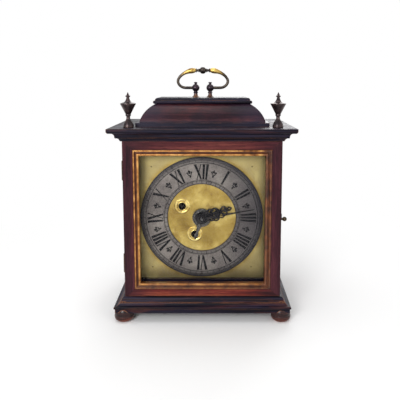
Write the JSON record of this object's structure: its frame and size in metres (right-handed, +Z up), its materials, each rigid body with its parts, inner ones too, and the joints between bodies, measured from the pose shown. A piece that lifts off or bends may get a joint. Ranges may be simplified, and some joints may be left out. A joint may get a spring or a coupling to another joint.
{
  "type": "bracket clock",
  "caption": "Spring-driven bracket clock with alarm: wooden case on bun feet, glazed front and rear doors, brass dial, cushion top with bail handle, and a two-plate pendulum movement.",
  "frame": {"origin": "on the surface that the feet stand on, in the middle of the case", "axes": "+Z up, +X to the right of the dial, and the dial looks along -Y"},
  "size_m": [0.2384, 0.1734, 0.3347],
  "materials": {
    "ebonised_wood": "ebonised and polished, edges rubbed brown",
    "rosewood": "dark red-brown polished veneer",
    "dome_wood": "dark veneer over a moulded top",
    "carcase_wood": "plain oak",
    "gilded_moulding": "gilded beads with a brown groove",
    "dial_brass": "matted and lacquered, toned with age",
    "silvered_brass": "silvered, engraved and worn grey",
    "clock_brass": "polished movement brass",
    "fitting_brass": "old brass, dark in the hollows",
    "dark_steel": "blued steel gone dark",
    "clock_steel": "polished steel",
    "bell_metal": "turned bell metal",
    "finial_metal": "turned and darkened",
    "window_glass": "thin old sheet glass",
    "ebonised_feet": "turned, dark red-brown"
  },
  "bodies": {
    "case": {"bun_feet": "ebonised_feet", "base_mouldings": "ebonised_wood", "base_board": "carcase_wood", "side_boards": "rosewood", "side_window_glasses": "window_glass", "side_window_beads": "gilded_moulding", "top_board": "carcase_wood", "cornice_mouldings": "ebonised_wood", "dome_top": "dome_wood", "dome_cap": "ebonised_wood", "handle_posts": "fitting_brass", "finials": "finial_metal", "case_hinge_leaves": "fitting_brass", "catch_pivot_screws": "clock_steel", "dial_mask": "ebonised_wood", "dial_plate": "dial_brass", "chapter_ring": "silvered_brass", "winding_hole_collets": "clock_brass", "pendulum_cock": "clock_brass", "click_screws_and_springs": "clock_steel", "alarm_bell": "bell_metal", "alarm_bell_stud": "clock_steel", "front_plate": "clock_brass", "back_plate": "clock_brass", "plate_pillars": "clock_brass", "seat_board": "carcase_wood", "seat_bolts": "clock_steel"},
    "handle": {"carrying_handle": "fitting_brass"},
    "front_door": {"front_door_frame": "rosewood", "front_door_sight_edge": "gilded_moulding", "front_door_glass": "window_glass", "front_door_hinge_leaves": "fitting_brass", "latch_stud": "fitting_brass"},
    "latch_hook": {"latch_hook": "fitting_brass"},
    "rear_door": {"rear_door_frame": "rosewood", "rear_door_glass": "window_glass", "rear_door_hinge_leaves": "fitting_brass"},
    "rear_button": {"rear_turn_button": "fitting_brass"},
    "centre_arbor": {"centre_wheel_and_arbor": "clock_brass", "cannon_pinion": "clock_steel", "minute_hand": "dark_steel", "hand_collet_and_pin": "dark_steel"},
    "hour_pipe": {"hour_wheel": "clock_brass", "hour_hand": "dark_steel"},
    "minute_wheel": {"minute_wheel": "clock_brass"},
    "barrel": {"going_barrel": "clock_brass", "going_mainspring": "clock_steel"},
    "going_winding": {"going_winding_arbor": "clock_steel"},
    "going_click": {"going_click": "clock_steel"},
    "third_arbor": {"third_wheel_and_arbor": "clock_brass"},
    "escape_arbor": {"escape_wheel_and_arbor": "clock_brass"},
    "pendulum": {"pallet_anchor": "clock_steel", "pendulum": "clock_brass"},
    "alarm_hand": {"alarm_hand": "dark_steel"},
    "alarm_barrel": {"alarm_barrel": "clock_brass", "alarm_mainspring": "clock_steel"},
    "alarm_winding": {"alarm_winding_arbor": "clock_steel"},
    "alarm_click": {"alarm_click": "clock_steel"},
    "alarm_wheel": {"alarm_crown_wheel": "clock_brass"},
    "alarm_hammer": {"alarm_hammer": "clock_steel"}
  },
  "joints": [
    {"name": "handle_swing", "type": "hinge", "parent": "case", "child": "handle", "pos_m": [0, 0, 0.3051], "axis": [1, 0, 0], "range_deg": [-105, 105]},
    {"name": "front_door_hinge", "type": "hinge", "parent": "case", "child": "front_door", "pos_m": [-0.1044, -0.05625, 0.135], "axis": [0, 0, -1], "range_deg": [0, 110]},
    {"name": "latch_hook_pivot", "type": "hinge", "parent": "case", "child": "latch_hook", "pos_m": [0.1025, -0.046, 0.134], "axis": [1, 0, 0], "range_deg": [0, 90]},
    {"name": "rear_door_hinge", "type": "hinge", "parent": "case", "child": "rear_door", "pos_m": [0.0943, 0.0719, 0.135], "axis": [0, 0, -1], "range_deg": [0, 110]},
    {"name": "rear_button_pivot", "type": "hinge", "parent": "case", "child": "rear_button", "pos_m": [-0.0985, 0.07, 0.134], "axis": [0, -1, 0], "range_deg": [0, 90]},
    {"name": "minute_arbor_turn", "type": "hinge", "parent": "case", "child": "centre_arbor", "pos_m": [-0.0012, -0.015, 0.1313], "axis": [0, 1, 0], "continuous": true},
    {"name": "hour_pipe_turn", "type": "hinge", "parent": "case", "child": "hour_pipe", "pos_m": [-0.0012, -0.015, 0.1313], "axis": [0, 1, 0], "continuous": true},
    {"name": "alarm_hand_setting", "type": "hinge", "parent": "hour_pipe", "child": "alarm_hand", "pos_m": [-0.0012, -0.015, 0.1313], "axis": [0, 1, 0], "continuous": true},
    {"name": "minute_wheel_turn", "type": "hinge", "parent": "case", "child": "minute_wheel", "pos_m": [0.019, -0.015, 0.12394], "axis": [0, 1, 0], "continuous": true},
    {"name": "going_barrel_turn", "type": "hinge", "parent": "case", "child": "barrel", "pos_m": [-0.0276, -0.015, 0.14689], "axis": [0, 1, 0], "continuous": true},
    {"name": "third_arbor_turn", "type": "hinge", "parent": "case", "child": "third_arbor", "pos_m": [0.0035, -0.015, 0.15371], "axis": [0, 1, 0], "continuous": true},
    {"name": "escape_arbor_turn", "type": "hinge", "parent": "case", "child": "escape_arbor", "pos_m": [-0.0012, -0.015, 0.1748], "axis": [0, 1, 0], "continuous": true},
    {"name": "pendulum_swing", "type": "hinge", "parent": "case", "child": "pendulum", "pos_m": [-0.0012, -0.015, 0.19459], "axis": [0, 1, 0], "range_deg": [-2.5, 2.5]},
    {"name": "going_winding_turn", "type": "hinge", "parent": "case", "child": "going_winding", "pos_m": [-0.0276, -0.015, 0.14689], "axis": [0, 1, 0], "continuous": true},
    {"name": "going_click_lift", "type": "hinge", "parent": "case", "child": "going_click", "pos_m": [-0.0154, -0.0374, 0.15744], "axis": [0, 1, 0], "range_deg": [0, 7], "stiffness_Nm_per_rad": 0.0005, "springref_deg": -5.73},
    {"name": "alarm_barrel_turn", "type": "hinge", "parent": "case", "child": "alarm_barrel", "pos_m": [-0.0108, -0.015, 0.1084], "axis": [0, 1, 0], "continuous": true},
    {"name": "alarm_wheel_turn", "type": "hinge", "parent": "case", "child": "alarm_wheel", "pos_m": [0.00762, -0.015, 0.1017], "axis": [0, 1, 0], "continuous": true},
    {"name": "alarm_winding_turn", "type": "hinge", "parent": "case", "child": "alarm_winding", "pos_m": [-0.0108, -0.015, 0.1084], "axis": [0, 1, 0], "continuous": true},
    {"name": "alarm_click_lift", "type": "hinge", "parent": "case", "child": "alarm_click", "pos_m": [-0.023, -0.0374, 0.09985], "axis": [0, 1, 0], "range_deg": [0, 7], "stiffness_Nm_per_rad": 0.0005, "springref_deg": -5.73},
    {"name": "alarm_hammer_swing", "type": "hinge", "parent": "case", "child": "alarm_hammer", "pos_m": [0.02882, -0.015, 0.1017], "axis": [0, 1, 0], "range_deg": [-1.8, 5]}
  ],
  "couplings": [
    {"joint": "going_barrel_turn", "follows": "minute_arbor_turn", "ratio": -0.125},
    {"joint": "third_arbor_turn", "follows": "minute_arbor_turn", "ratio": -12},
    {"joint": "escape_arbor_turn", "follows": "minute_arbor_turn", "ratio": 132},
    {"joint": "minute_wheel_turn", "follows": "minute_arbor_turn", "ratio": -0.33333},
    {"joint": "hour_pipe_turn", "follows": "minute_arbor_turn", "ratio": 0.083333},
    {"joint": "alarm_wheel_turn", "follows": "alarm_barrel_turn", "ratio": -9}
  ]
}
